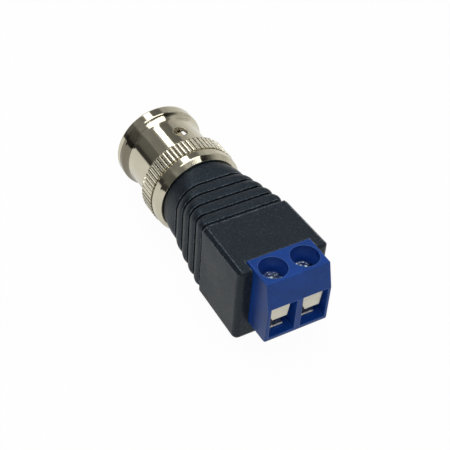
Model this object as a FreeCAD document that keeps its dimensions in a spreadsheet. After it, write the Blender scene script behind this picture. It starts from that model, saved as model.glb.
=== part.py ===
"""Screw terminal adapter with a bayonet plug, as a parametric document.

Modelled about the plug's axis: Y runs from the wire entries (y = 0) to the plug's mating end,
X points right and Z up. A placement then lifts every piece so that the knurled nut stands on
z = 0 and the part's length is centred on the origin. All sizes are millimetres.
"""
import FreeCAD, Part
import math
import os

import Sketcher

Vector = FreeCAD.Vector

# Driving sizes: alias, value, what it is
SIZES = [
    ("housing_drop", 3.3, "plug axis down to the housing's underside"),
    ("housing_rise", 6.9, "plug axis up to the housing's top"),
    ("housing_depth", 6.25, "wire entries back to the body's notch"),
    ("bend_rise", 3.05, "plug axis up to where the front begins to slope"),
    ("slope_back", 1.1, "how far the slope leans back at the top"),
    ("pole_pitch", 5.0, "pole to pole, and half the housing's width"),
    ("entry_wall", 0.95, "wall between the wire entries"),
    ("sill", 0.9, "housing floor under a wire entry"),
    ("chamber_rise", 3.8, "plug axis up to the clamp chamber's ceiling"),
    ("lintel_wall", 0.6, "front wall above a wire entry"),
    ("well_wall", 0.9, "wall between the screwdriver wells"),
    ("well_back", 3.57, "front plane to the screws' axes"),
    ("housing_round", 0.2, "housing's outer edges"),
    ("housing_foot_round", 0.6, "housing's lower front edge"),
    ("strip_thickness", 0.45, "contact strip"),
    ("strip_play", 0.325, "contact strip's side to the chamber's wall"),
    ("tongue_width", 2.2, "contact strip's floor tongue"),
    ("tongue_back", 1.35, "front plane to the tongue's edge"),
    ("tongue_round", 0.2, "upper edge of the tongue"),
    ("serration_pitch", 0.45, "tongue's edge to its first groove, and groove to groove"),
    ("serration_width", 0.22, "grooves across the tongue that grip the wire"),
    ("serration_depth", 0.13, "grooves across the tongue that grip the wire"),
    ("plate_rise", 2.1, "plug axis up to the thread plate's top"),
    ("plate_back", 1.25, "front plane to the thread plate's edge"),
    ("collar_length", 0.6, "extruded thread collar below the plate"),
    ("collar_radius", 1.75, "extruded thread collar"),
    ("pin_width", 0.9, "solder pin"),
    ("pin_drop", 5.0, "plug axis down to the solder pin's end"),
    ("pin_back", 5.75, "front plane to the contact's rear face"),
    ("screw_radius", 1.2, "terminal screw's thread, over its crests"),
    ("screw_length", 3.6, "terminal screw below its head"),
    ("head_radius", 1.58, "terminal screw's head"),
    ("head_height", 1.2, "terminal screw's head"),
    ("head_round", 0.3, "rim of the screw's head"),
    ("slot_width", 0.55, "screwdriver slot"),
    ("slot_depth", 0.7, "screwdriver slot"),
    ("head_sink", 1.95, "left screw's head below the housing's top"),
    ("right_sink", 0.3, "right screw sits this much deeper"),
    ("guard_thickness", 0.25, "wire guard's sheet"),
    ("guard_play", 0.325, "wire guard's side to the chamber's wall"),
    ("guard_front", 0.65, "front plane to the guard's face"),
    ("guard_reach", 3.58, "guard's height, lip to lower edge"),
    ("guard_corner_rise", 1.37, "guard's left lower corner, cut off"),
    ("guard_corner_run", 0.64, "guard's left lower corner, cut off"),
    ("guard_lean_rise", 3.1, "guard's right side, where it leans in"),
    ("guard_lean_run", 0.45, "guard's right side, how far it leans in at the lower edge"),
    ("guard_tip_round", 0.12, "guard's lower corners"),
    ("guard_hole_play", 0.25, "guard's hole round the screw's neck"),
    ("left_guard_shift", 0.2, "left guard hangs off centre, towards the outer wall"),
    ("lip_end", 5.5, "front plane to the end of the guard's lip"),
    ("block_front", 4.35, "front plane to the body's side walls"),
    ("block_back", 14.75, "front plane to the groove behind the block"),
    ("side_step", 0.24, "body's side at the terminals, inside of the knurl's"),
    ("side_taper", 0.2, "how much the body's side draws in towards the ribs"),
    ("block_rise_near", 6.68, "body's top at the terminals"),
    ("block_rise_far", 6.5, "body's top at the ribs"),
    ("block_drop", 6.24, "body's flat underside"),
    ("top_bevel", 0.55, "bevel along the body's top edges"),
    ("end_round", 0.9, "rounding of the body's near end and lower edges"),
    ("end_top_round", 0.5, "rounding of the near end's upper edges"),
    ("notch_gap", 0.09, "body's notch, clear of the housing's sides and back"),
    ("notch_round", 0.15, "upper edges of the body's notch"),
    ("rib_corner", 1.0, "corner radius where the ribs begin"),
    ("rib_pitch", 2.04, "rib to rib"),
    ("groove_width", 0.4, "groove between ribs"),
    ("block_groove_extra", 0.42, "how much wider the groove behind the block is"),
    ("groove_depth", 0.5, "groove below the ribs' crowns"),
    ("rib_crown", 0.22, "how much a rib's middle stands above its edges"),
    ("rib_step", 0.12, "ribs' crowns below the block's surface"),
    ("neck_gap", 0.1, "body's round neck to the nut's skirt"),
    ("neck_end", 27.9, "front plane to the neck's end"),
    ("body_wall", 0.65, "body's wall below the terminals"),
    ("cavity_half", 4.4, "half width of the solder chamber"),
    ("cavity_rise", 5.1, "solder chamber above the axis"),
    ("cavity_drop", 5.25, "solder chamber below the axis"),
    ("cavity_back", 17.2, "front plane to the solder chamber's end"),
    ("nut_rear", 27.2, "front plane to the coupling nut's rear edge"),
    ("nut_length", 14.4, "coupling nut"),
    ("nut_bore", 4.93, "coupling nut's bore"),
    ("nut_skirt_step", 0.95, "nut's recess that takes the neck, below the knurl"),
    ("nut_rear_step", 0.7, "nut's rear edge, below the knurl"),
    ("collar_step", 0.15, "smooth collar behind the knurl, below it"),
    ("collar_ring_start", 0.75, "nut's rear edge to the collar"),
    ("collar_ring_end", 1.95, "nut's rear edge to the collar's end"),
    ("undercut_step", 0.35, "relief behind the knurl, below it"),
    ("knurl_start", 2.2, "nut's rear edge to the knurl"),
    ("knurl_width", 2.75, "knurled band"),
    ("knurl_radius", 7.3, "over the knurl"),
    ("knurl_depth", 0.24, "knurl grooves"),
    ("knurl_gap", 0.36, "knurl grooves, across at the top"),
    ("barrel_start", 5.9, "nut's rear edge to the barrel"),
    ("barrel_radius", 6.2, "nut's barrel"),
    ("rim_step", 0.7, "nut's front rim, above the barrel"),
    ("rim_width", 1.85, "nut's front rim"),
    ("shoulder_run", 0.7, "hollow slope from the barrel up to the rim"),
    ("shoulder_hollow", 1.9, "hollow of that slope"),
    ("shoulder_round", 0.3, "edges of the nut's bands"),
    ("rim_round", 0.4, "rim's outer edge"),
    ("lip_bore", 4.25, "nut's retaining lip"),
    ("nut_lip_start", 0.75, "nut's rear edge to its retaining lip"),
    ("nut_lip_width", 0.6, "nut's retaining lip"),
    ("stud_slot", 2.1, "width of the bayonet slots"),
    ("stud_slot_radius", 5.65, "floor of the bayonet slots"),
    ("stud_slot_angle", 72.0, "bayonet ramp, in degrees round the axis"),
    ("stud_slot_lead", 3.0, "bayonet ramp along the axis"),
    ("detent_from_front", 6.1, "mating end to the detent holes"),
    ("detent_radius", 1.15, "detent holes"),
    ("detent_angle", 8.0, "detent hole's angle from upright"),
    ("washer_radius", 4.78, "over the washers, ring and gasket"),
    ("thrust_thickness", 0.25, "thrust washer"),
    ("wave_height", 1.0, "wave washer, free"),
    ("wave_thickness", 0.2, "wave washer's strip"),
    ("ring_thickness", 0.5, "retaining ring"),
    ("ring_gap", 1.6, "opening of the retaining ring"),
    ("ring_groove_radius", 3.75, "floor of the retaining ring's groove"),
    ("gasket_thickness", 0.8, "gasket"),
    ("gasket_seat", 3.85, "plug shell under the gasket"),
    ("gasket_room", 0.1, "gasket to the sleeve's step"),
    ("shell_bearing", 4.2, "plug shell under the washers"),
    ("sleeve_radius", 4.05, "plug shell's front sleeve"),
    ("sleeve_bore", 3.55, "plug shell's front bore"),
    ("sleeve_recess", 2.1, "nut's mating end to the sleeve's end"),
    ("sleeve_slit", 0.5, "slits of the front sleeve"),
    ("sleeve_slit_length", 3.8, "slits of the front sleeve"),
    ("sleeve_slit_angle", 45.0, "first slit's angle from upright"),
    ("stem_radius", 3.2, "plug shell's stem in the moulding"),
    ("stem_collar_radius", 4.0, "anchoring collars on the stem"),
    ("stem_start", 18.2, "front plane to the stem's rear end"),
    ("stem_collar_start", 1.0, "stem's rear end to its first collar"),
    ("stem_collar_width", 1.2, "anchoring collars on the stem"),
    ("stem_collar_pitch", 2.6, "collar to collar"),
    ("stem_bore", 2.1, "bore through the stem"),
    ("bore_step", 26.5, "front plane to the step between the two bores"),
    ("insulator_lip", 2.45, "bore of the front insulator's cup"),
    ("cup_bottom", 30.6, "front plane to the bottom of that cup"),
    ("cup_recess", 2.3, "sleeve's end to the cup's end"),
    ("contact_radius", 0.675, "centre pin's tip"),
    ("contact_shaft", 1.1, "centre pin's shaft"),
    ("contact_recess", 0.5, "sleeve's end to the pin's tip"),
    ("contact_neck", 0.9, "centre pin's neck through the cup's bottom"),
    ("neck_step", 0.1, "bottom of the cup to the end of that neck"),
    ("shaft_start", 20.6, "front plane to the centre pin's shaft"),
    ("shaft_end", 29.4, "front plane to the end of that shaft"),
    ("tail_radius", 0.85, "centre pin's solder cup"),
    ("tail_start", 15.6, "front plane to the solder cup's end"),
    ("cup_bore", 0.52, "bore of the solder cup"),
    ("cup_depth", 2.0, "depth of the solder cup"),
    ("bush_length", 2.4, "rear insulator"),
    ("lead_radius", 0.85, "insulated leads"),
    ("lead_run", 0.8, "straight ends of the leads"),
    ("lead_core", 0.45, "bared end that goes into the solder cup"),
    ("lead_core_length", 1.6, "bared end that goes into the solder cup"),
    ("ground_spread", 2.3, "plug axis to the ground lead's end"),
    ("lead_rise", 4.28, "plug axis down to the leads at the solder pins"),
    ("tube_wall", 0.3, "insulating tube over the solder cup"),
    ("tube_length", 3.0, "insulating tube over the solder cup"),
    ("tube_overlap", 0.6, "insulating tube beyond the cup, over the lead"),
    ("seat_gap", 0.02, "between pieces that sit on each other"),
    ("running_gap", 0.05, "between turning pieces"),
]

RIB_GROOVES = 5
SERRATIONS = 2
KNURL_RIBS = 64
STEM_COLLARS = 2
WAVES = 3


class Dim:
    """A size as a number together with the sheet expression that gives it."""

    def __init__(self, value, text):
        self.value = float(value)
        self.text = text

    @staticmethod
    def of(other):
        return other if isinstance(other, Dim) else Dim(other, repr(other))

    def __add__(self, other):
        other = Dim.of(other)
        return Dim(self.value + other.value, f"({self.text} + {other.text})")

    def __sub__(self, other):
        other = Dim.of(other)
        return Dim(self.value - other.value, f"({self.text} - {other.text})")

    def __mul__(self, other):
        other = Dim.of(other)
        return Dim(self.value * other.value, f"({self.text} * {other.text})")

    def __truediv__(self, other):
        other = Dim.of(other)
        return Dim(self.value / other.value, f"({self.text} / {other.text})")

    def __neg__(self):
        return Dim(-self.value, f"(0 - {self.text})")

    def blend(self, other, share):
        """The size that lies a share of the way from this one to another."""
        return self + (Dim.of(other) - self) * share


class Dims:
    """Every cell of the sheet as a Dim attribute."""

    def __init__(self, rows):
        for alias, value, _ in rows:
            setattr(self, alias, Dim(value, "Sizes." + alias))


doc = FreeCAD.newDocument("screw_terminal_adapter")
d = Dims(SIZES)
d.housing_width = d.pole_pitch * 2
d.entry_width = d.pole_pitch - d.entry_wall
d.well_radius = (d.pole_pitch - d.well_wall) / 2
d.guard_width = d.entry_width - d.guard_play * 2
d.strip_width = d.entry_width - d.strip_play * 2
d.collar_ring_radius = d.knurl_radius - d.collar_step
d.undercut_radius = d.knurl_radius - d.undercut_step
d.nut_rear_radius = d.knurl_radius - d.nut_rear_step
d.nut_skirt_bore = d.knurl_radius - d.nut_skirt_step
d.neck_radius = d.nut_skirt_bore - d.neck_gap
d.rim_radius = d.barrel_radius + d.rim_step
d.block_half_near = d.knurl_radius - d.side_step
d.block_half_far = d.block_half_near - d.side_taper
ZERO = Dim(0, "0")


def make_sheet():
    sheet = doc.addObject("Spreadsheet::Sheet", "Sizes")
    for row, (alias, value, note) in enumerate(SIZES, start=1):
        sheet.set(f"A{row}", note)
        sheet.set(f"B{row}", str(value))
        sheet.setAlias(f"B{row}", alias)
    doc.recompute()


def bind(obj, prop, size):
    """Set a property from a size, and keep it bound to the sheet."""
    obj.setExpression(prop, Dim.of(size).text)


def placed(obj, across=None, lift=None):
    """Stand a finished piece in the part's frame."""
    obj.Placement = FreeCAD.Placement(Vector(0, 0, 0), FreeCAD.Rotation())
    bind(obj, ".Placement.Base.x", across or ZERO)
    bind(obj, ".Placement.Base.y", -(d.nut_rear + d.nut_length) / 2)
    bind(obj, ".Placement.Base.z", d.knurl_radius + (lift or ZERO))
    return obj


def turned(obj, angle):
    """Turn a placed piece about the plug's axis, from upright towards +X."""
    obj.Placement.Rotation = FreeCAD.Rotation(Vector(0, 1, 0), angle.value)
    bind(obj, ".Placement.Rotation.Angle", angle)
    return obj


def new_body(label):
    body = doc.addObject("PartDesign::Body", label)
    body.Label = label
    return body


def origin(body, role):
    return next(f for f in body.Origin.OriginFeatures if f.Role == role)


def sketch(body, name, role, offset=None):
    """An empty sketch on one of the body's own planes, moved along its normal."""
    sk = body.newObject("Sketcher::SketchObject", name)
    sk.AttachmentSupport = [(origin(body, role), "")]
    sk.MapMode = "FlatFace"
    if offset is not None:
        bind(sk, ".AttachmentOffset.Base.z", offset)
    return sk


def pin_point(sk, geo, pos, across, up):
    """Hold a sketch point at two sizes from the sketch's origin."""
    for kind, size in (("DistanceX", across), ("DistanceY", up)):
        size = Dim.of(size)
        index = sk.addConstraint(Sketcher.Constraint(kind, -1, 1, geo, pos, size.value))
        bind(sk, f"Constraints[{index}]", size)


def add_outline(sk, points):
    """A closed outline of straight lines through the given points."""
    first = sk.GeometryCount
    count = len(points)
    flat = [(Dim.of(u), Dim.of(v)) for u, v in points]
    for i, (u, v) in enumerate(flat):
        nu, nv = flat[(i + 1) % count]
        line = Part.LineSegment(Vector(u.value, v.value, 0), Vector(nu.value, nv.value, 0))
        sk.addGeometry(line, False)
    for i in range(count):
        nxt = first + (i + 1) % count
        sk.addConstraint(Sketcher.Constraint("Coincident", first + i, 2, nxt, 1))
    for i, (u, v) in enumerate(flat):
        pin_point(sk, first + i, 1, u, v)


def outline(body, name, role, points, offset=None):
    sk = sketch(body, name, role, offset)
    add_outline(sk, points)
    return sk


def add_circle(sk, across, up, radius):
    across, up = Dim.of(across), Dim.of(up)
    circle = Part.Circle(Vector(across.value, up.value, 0), Vector(0, 0, 1), radius.value)
    geo = sk.addGeometry(circle, False)
    index = sk.addConstraint(Sketcher.Constraint("Radius", geo, radius.value))
    bind(sk, f"Constraints[{index}]", radius)
    pin_point(sk, geo, 3, across, up)


def circle_sketch(body, name, role, radius, across=0, up=0, offset=None):
    sk = sketch(body, name, role, offset)
    add_circle(sk, across, up, radius)
    return sk


def rounded_section(body, name, at, half, rise, drop, corner):
    """A rectangle with round corners across the axis, at a distance along it."""
    sk = sketch(body, name, "XZ_Plane", -at)
    right, up, down = half - corner, rise - corner, corner - drop
    centres = [(right, up), (-right, up), (-right, down), (right, down)]
    for i, (cx, cz) in enumerate(centres):
        circle = Part.Circle(Vector(cx.value, cz.value, 0), Vector(0, 0, 1), corner.value)
        sk.addGeometry(Part.ArcOfCircle(circle, i * math.pi / 2, (i + 1) * math.pi / 2), False)
    for i, (cx, cz) in enumerate(centres):
        nxt = (i + 1) % 4
        a, b = sk.Geometry[i].EndPoint, sk.Geometry[nxt].StartPoint
        line = sk.addGeometry(Part.LineSegment(a, b), False)
        sk.addConstraint(Sketcher.Constraint("Coincident", i, 2, line, 1))
        sk.addConstraint(Sketcher.Constraint("Coincident", line, 2, nxt, 1))
        ends = ("Horizontal", "Vertical") if i % 2 == 0 else ("Vertical", "Horizontal")
        sk.addConstraint(Sketcher.Constraint(ends[0], i, 1, i, 3))
        sk.addConstraint(Sketcher.Constraint(ends[1], i, 2, i, 3))
        index = sk.addConstraint(Sketcher.Constraint("Radius", i, corner.value))
        bind(sk, f"Constraints[{index}]", corner)
        pin_point(sk, i, 3, cx, cz)
    return sk


def loft(body, name, sections, ruled=False):
    feature = body.newObject("PartDesign::AdditiveLoft", name)
    feature.Profile = sections[0]
    feature.Sections = sections[1:]
    feature.Ruled = ruled
    return feature


def revolve(body, name, profile, cut=False, axis="Y_Axis"):
    kind = "PartDesign::Groove" if cut else "PartDesign::Revolution"
    feature = body.newObject(kind, name)
    feature.Profile = profile
    feature.ReferenceAxis = (origin(body, axis), [""])
    feature.Angle = 360
    return feature


def extrude(body, name, profile, length, cut=False, midplane=False, reverse=False):
    kind = "PartDesign::Pocket" if cut else "PartDesign::Pad"
    feature = body.newObject(kind, name)
    feature.Profile = profile
    bind(feature, "Length", length)
    feature.Midplane = midplane
    feature.Reversed = reverse
    return feature


def polar(body, name, originals, count, axis="Y_Axis"):
    pattern = body.newObject("PartDesign::PolarPattern", name)
    pattern.Originals = originals
    pattern.Axis = (origin(body, axis), [""])
    pattern.Angle = 360
    pattern.Occurrences = count
    body.Tip = pattern
    return pattern


def dress(body, name, kind, edges, size):
    """A fillet or chamfer on those edges of the body's last feature that a test picks."""
    doc.recompute()
    last = body.Tip
    picked = [f"Edge{i}" for i, e in enumerate(last.Shape.Edges, start=1) if edges(e)]
    feature = body.newObject("PartDesign::" + kind, name)
    feature.Base = (last, picked)
    bind(feature, "Radius" if kind == "Fillet" else "Size", size)
    return feature


def middle(edge):
    return edge.valueAt((edge.FirstParameter + edge.LastParameter) / 2)


def near(a, b, within=0.02):
    return abs(a - b) < within


def tube_profile(start, end, inner, outer):
    return [(start, inner), (end, inner), (end, outer), (start, outer)]


def terminal_housing():
    """Blue two-pole housing: sloping front, wire entries, clamp chambers, screwdriver wells."""
    body = new_body("terminal_housing")
    top, floor = d.housing_rise, -d.housing_drop
    side = outline(body, "housing_side", "YZ_Plane", [
        (0, floor), (d.housing_depth, floor), (d.housing_depth, top),
        (d.slope_back, top), (0, d.bend_rise)])
    extrude(body, "housing_pad", side, d.housing_width, midplane=True)

    def foot(edge):
        at = middle(edge)
        return near(at.x, 0) and near(at.y, 0) and near(at.z, floor.value)

    def outer_edge(edge):
        at = middle(edge)
        side = near(abs(at.x), d.housing_width.value / 2) and near(edge.BoundBox.XLength, 0)
        return side and not near(at.y, d.housing_depth.value) and not near(at.z, floor.value) \
            or near(at.x, 0) and near(at.z, top.value)

    dress(body, "foot_round", "Fillet", foot, d.housing_foot_round)
    dress(body, "housing_rounds", "Fillet", outer_edge, d.housing_round)
    for name, sign in (("left", -1), ("right", 1)):
        centre = d.pole_pitch / 2 * sign
        left, right = centre - d.entry_width / 2, centre + d.entry_width / 2
        entry = outline(body, f"entry_{name}_sketch", "XZ_Plane", [
            (left, floor + d.sill), (right, floor + d.sill), (right, d.bend_rise), (left, d.bend_rise)])
        extrude(body, f"entry_{name}", entry, d.pin_back + d.seat_gap, cut=True, reverse=False)
        head_room = outline(body, f"chamber_{name}_sketch", "XZ_Plane", [
            (left, d.bend_rise - d.seat_gap), (right, d.bend_rise - d.seat_gap),
            (right, d.chamber_rise), (left, d.chamber_rise)], -d.lintel_wall)
        extrude(body, f"chamber_{name}", head_room,
                d.pin_back + d.seat_gap - d.lintel_wall, cut=True, reverse=False)
        well = circle_sketch(body, f"well_{name}_sketch", "XY_Plane", d.well_radius,
                             centre, d.well_back, top)
        extrude(body, f"well_{name}", well, top - d.chamber_rise + d.seat_gap, cut=True)
        pin = outline(body, f"pin_hole_{name}_sketch", "XY_Plane", [
            (centre - d.pin_width / 2 - d.seat_gap, d.pin_back - d.strip_thickness - d.seat_gap),
            (centre + d.pin_width / 2 + d.seat_gap, d.pin_back - d.strip_thickness - d.seat_gap),
            (centre + d.pin_width / 2 + d.seat_gap, d.pin_back + d.seat_gap),
            (centre - d.pin_width / 2 - d.seat_gap, d.pin_back + d.seat_gap)], floor)
        extrude(body, f"pin_hole_{name}", pin, d.sill + d.seat_gap, cut=True, reverse=True)
    return placed(body)


def terminal_contact(name, sign):
    """Bent contact strip: floor tongue, back, threaded plate with its collar, solder pin."""
    body = new_body(f"terminal_contact_{name}")
    floor = d.sill - d.housing_drop + d.seat_gap
    thick, back = d.strip_thickness, d.pin_back
    tongue = outline(body, "tongue_side", "YZ_Plane", [
        (d.tongue_back, floor), (back, floor), (back, floor + thick), (d.tongue_back, floor + thick)])
    extrude(body, "tongue", tongue, d.tongue_width, midplane=True)
    dress(body, "tongue_edge", "Fillet",
          lambda e: near(middle(e).y, d.tongue_back.value) and near(middle(e).z, (floor + thick).value),
          d.tongue_round)
    serrations = sketch(body, "serration_side", "YZ_Plane")
    for i in range(1, SERRATIONS + 1):
        at = d.tongue_back + d.serration_pitch * i
        add_outline(serrations, [
            (at - d.serration_width / 2, floor + thick + d.seat_gap),
            (at, floor + thick - d.serration_depth),
            (at + d.serration_width / 2, floor + thick + d.seat_gap)])
    extrude(body, "tongue_serrations", serrations, d.tongue_width + 1, cut=True, midplane=True)
    bracket = outline(body, "bracket_side", "YZ_Plane", [
        (back - thick, floor), (back, floor), (back, d.plate_rise),
        (d.plate_back, d.plate_rise), (d.plate_back, d.plate_rise - thick),
        (back - thick, d.plate_rise - thick)])
    extrude(body, "bracket", bracket, d.strip_width, midplane=True)
    pin = outline(body, "pin_side", "YZ_Plane", [
        (back - thick, floor), (back, floor), (back, -d.pin_drop), (back - thick, -d.pin_drop)])
    extrude(body, "solder_pin", pin, d.pin_width, midplane=True)
    collar = circle_sketch(body, "collar_sketch", "XY_Plane", d.collar_radius - d.seat_gap, 0,
                           d.well_back, d.plate_rise - thick)
    extrude(body, "thread_collar", collar, d.collar_length, reverse=True)
    hole = circle_sketch(body, "thread_sketch", "XY_Plane", d.screw_radius + d.running_gap, 0,
                         d.well_back, d.plate_rise)
    extrude(body, "thread_hole", hole, thick + d.collar_length, cut=True)
    return placed(body, d.pole_pitch / 2 * sign)


def screw_drop(sign):
    """How far a pole's screw and guard sit below the left pole's."""
    return -d.right_sink if sign > 0 else ZERO


def terminal_screw(name, sign):
    """Slotted terminal screw with a low round head."""
    body = new_body(f"terminal_screw_{name}")
    head_top = d.housing_rise - d.head_sink
    seat = head_top - d.head_height
    tip = seat - d.screw_length
    point = d.screw_radius * 0.4
    side = outline(body, "screw_side", "XZ_Plane", [
        (0, tip), (d.screw_radius - point, tip), (d.screw_radius, tip + point),
        (d.screw_radius, seat), (d.head_radius, seat), (d.head_radius, head_top), (0, head_top)],
        -d.well_back)
    turned = body.newObject("PartDesign::Revolution", "screw_turned")
    turned.Profile = side
    turned.ReferenceAxis = (side, ["V_Axis"])
    turned.Angle = 360
    dress(body, "head_rim", "Fillet",
          lambda e: near(middle(e).z, head_top.value) and e.Length > 1, d.head_round)
    slot = outline(body, "slot_sketch", "YZ_Plane", [
        (d.well_back - d.slot_width / 2, head_top - d.slot_depth),
        (d.well_back + d.slot_width / 2, head_top - d.slot_depth),
        (d.well_back + d.slot_width / 2, head_top + d.head_round),
        (d.well_back - d.slot_width / 2, head_top + d.head_round)])
    extrude(body, "driver_slot", slot, d.head_radius * 2 + 1, cut=True, midplane=True)
    return placed(body, d.pole_pitch / 2 * sign, screw_drop(sign))


def wire_guard(name, sign):
    """Bent sheet: a lip that hangs on the screw's neck and a front flap over the wire."""
    body = new_body(f"wire_guard_{name}")
    lip_top = d.housing_rise - d.head_sink - d.head_height - d.seat_gap
    under = lip_top - d.guard_thickness
    low = lip_top - d.guard_reach
    half = d.guard_width / 2
    side = outline(body, "guard_side", "YZ_Plane", [
        (d.guard_front, low), (d.guard_front + d.guard_thickness, low),
        (d.guard_front + d.guard_thickness, under), (d.lip_end, under),
        (d.lip_end, lip_top), (d.guard_front, lip_top)])
    extrude(body, "guard_sheet", side, d.guard_width, midplane=True)
    dress(body, "guard_bend", "Fillet",
          lambda e: near(middle(e).y, d.guard_front.value) and near(middle(e).z, lip_top.value),
          d.guard_thickness * 0.9)
    for corner, way, rise, run in (("left", -1, d.guard_corner_rise, d.guard_corner_run),
                                   ("right", 1, d.guard_lean_rise, d.guard_lean_run)):
        cut = outline(body, f"{corner}_corner_sketch", "XZ_Plane", [
            (half * way, low), (half * way, low + rise), ((half - run) * way, low)],
            -(d.guard_front - d.seat_gap))
        extrude(body, f"{corner}_corner", cut, d.guard_thickness + d.seat_gap * 2, cut=True)
    dress(body, "lower_corners", "Fillet",
          lambda e: near(middle(e).z, low.value) and near(e.BoundBox.XLength, 0),
          d.guard_tip_round)
    hole = circle_sketch(body, "screw_hole_sketch", "XY_Plane",
                         d.screw_radius + d.guard_hole_play, 0, d.well_back, lip_top)
    extrude(body, "screw_hole", hole, d.guard_thickness, cut=True)
    aside = d.left_guard_shift if sign < 0 else ZERO
    return placed(body, d.pole_pitch / 2 * sign - aside, screw_drop(sign))


def neck_share(at):
    """How far along the ribbed neck a place lies, from the block (0) to the round end (1)."""
    start = d.block_back + d.block_groove_extra
    return (at - start) / (d.nut_rear - start)


def neck_section(body, name, at, inset, share=None):
    """The neck's section: its corners grow until it is round where the nut begins."""
    share = neck_share(at) if share is None else share
    flat = 0.06
    half = d.block_half_far.blend(d.neck_radius, share) - inset
    rise = d.block_rise_far.blend(d.neck_radius, share) - inset
    drop = d.block_drop.blend(d.neck_radius, share) - inset
    share = Dim.of(share)
    corner = d.rib_corner.blend(d.neck_radius - flat, share * (share * 0.5 + 0.5)) - inset
    return rounded_section(body, name, at, half, rise, drop, corner)


def stem_profile(gap):
    """Half section of the plug shell's stem, with two anchoring collars, grown by a gap."""
    width = d.stem_collar_width
    points = [(d.stem_start - gap, d.stem_radius + gap)]
    for i in range(STEM_COLLARS):
        rear = d.stem_start + d.stem_collar_start + d.stem_collar_pitch * i
        points += [(rear - gap, d.stem_radius + gap), (rear - gap, d.stem_collar_radius + gap),
                   (rear + width + gap, d.stem_collar_radius + gap),
                   (rear + width + gap, d.stem_radius + gap)]
    return points


def body_moulding():
    """Black moulding: tapered block with a seat for the terminals, ribbed neck, round end."""
    body = new_body("body_moulding")
    near_end, far_end = d.block_front, d.block_back
    plan = outline(body, "block_plan", "XY_Plane", [
        (-d.block_half_near, near_end), (d.block_half_near, near_end),
        (d.block_half_far, far_end), (-d.block_half_far, far_end)], -d.block_drop)
    extrude(body, "block", plan, d.block_drop + d.block_rise_near)
    fall = outline(body, "top_fall_sketch", "YZ_Plane", [
        (near_end, d.block_rise_near), (far_end, d.block_rise_far),
        (far_end + 1, d.block_rise_far), (far_end + 1, d.block_rise_near + 1),
        (near_end, d.block_rise_near + 1)])
    extrude(body, "top_fall", fall, d.block_half_near * 2 + 1, cut=True, midplane=True)

    def top_edge(edge):
        return edge.BoundBox.YLength > 1 and middle(edge).z > 0

    def outer_edge(edge):
        at = middle(edge)
        along = edge.BoundBox.YLength > 1 and at.z < 0
        at_end = near(at.y, near_end.value) and near(edge.BoundBox.YLength, 0)
        upright = at_end and edge.BoundBox.ZLength > d.block_drop.value
        return along or upright or (at_end and near(at.z, -d.block_drop.value))

    def upper_end(edge):
        box = edge.BoundBox
        at_end = near(box.YMin, near_end.value) and box.YMax < near_end.value + d.end_round.value + 0.05
        return at_end and box.ZMin > (d.block_rise_near - d.top_bevel * 1.5).value

    dress(body, "top_bevels", "Chamfer", top_edge, d.top_bevel)
    dress(body, "outer_rounds", "Fillet", outer_edge, d.end_round)
    dress(body, "end_top_rounds", "Fillet", upper_end, d.end_top_round)

    first_rib = far_end + d.block_groove_extra
    last_rib = first_rib + d.rib_pitch * (RIB_GROOVES - 1) + d.groove_width * 2
    depth = d.rib_step + d.groove_depth
    core = [neck_section(body, "core_start", far_end, depth, 0),
            neck_section(body, "core_end", last_rib, depth)]
    loft(body, "core", core, ruled=True)
    end = [neck_section(body, "end_start", d.nut_rear, ZERO, 1),
           neck_section(body, "end_stop", d.neck_end, ZERO, 1)]
    loft(body, "round_end", end, ruled=True)
    for i in range(RIB_GROOVES):
        start = first_rib + d.rib_pitch * i + d.groove_width
        last = i == RIB_GROOVES - 1
        stop = d.nut_rear if last else first_rib + d.rib_pitch * (i + 1)
        crown = start + d.rib_pitch / 2 if last else (start + stop) / 2
        edge = d.rib_step + d.rib_crown
        rib = [neck_section(body, f"rib_{i + 1}_start", start, edge),
               neck_section(body, f"rib_{i + 1}_crown", crown, d.rib_step),
               neck_section(body, f"rib_{i + 1}_stop", stop, ZERO if last else edge)]
        loft(body, f"rib_{i + 1}", rib)

    seat = outline(body, "terminal_seat_sketch", "XZ_Plane", [
        (-(d.housing_width / 2 + d.notch_gap), -(d.housing_drop + d.seat_gap)),
        (d.housing_width / 2 + d.notch_gap, -(d.housing_drop + d.seat_gap)),
        (d.housing_width / 2 + d.notch_gap, d.housing_rise + 1),
        (-(d.housing_width / 2 + d.notch_gap), d.housing_rise + 1)], -(near_end - 1))
    extrude(body, "terminal_seat", seat, d.housing_depth + d.notch_gap - near_end + 1, cut=True)

    def notch_edge(edge):
        at = middle(edge)
        back = near(at.y, (d.housing_depth + d.notch_gap).value) and edge.BoundBox.XLength > 1
        return back and at.z > d.block_rise_far.value

    dress(body, "notch_rounds", "Fillet", notch_edge, d.notch_round)
    chamber = outline(body, "solder_chamber_sketch", "XZ_Plane", [
        (-d.cavity_half, -d.cavity_drop), (d.cavity_half, -d.cavity_drop),
        (d.cavity_half, d.cavity_rise), (-d.cavity_half, d.cavity_rise)],
        -(near_end + d.body_wall))
    extrude(body, "solder_chamber", chamber, d.cavity_back - near_end - d.body_wall, cut=True)
    gap = d.seat_gap
    bearing_end = d.neck_end + 1
    stem = outline(body, "stem_seat_sketch", "YZ_Plane",
                   [(d.cavity_back - 0.5, 0)] + [(d.cavity_back - 0.5, d.stem_radius + gap)]
                   + stem_profile(gap)[1:]
                   + [(d.bore_step - 1, d.stem_radius + gap), (d.bore_step - 1, d.shell_bearing + gap),
                      (bearing_end, d.shell_bearing + gap), (bearing_end, 0)])
    revolve(body, "stem_seat", stem, cut=True)
    return placed(body)


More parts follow.
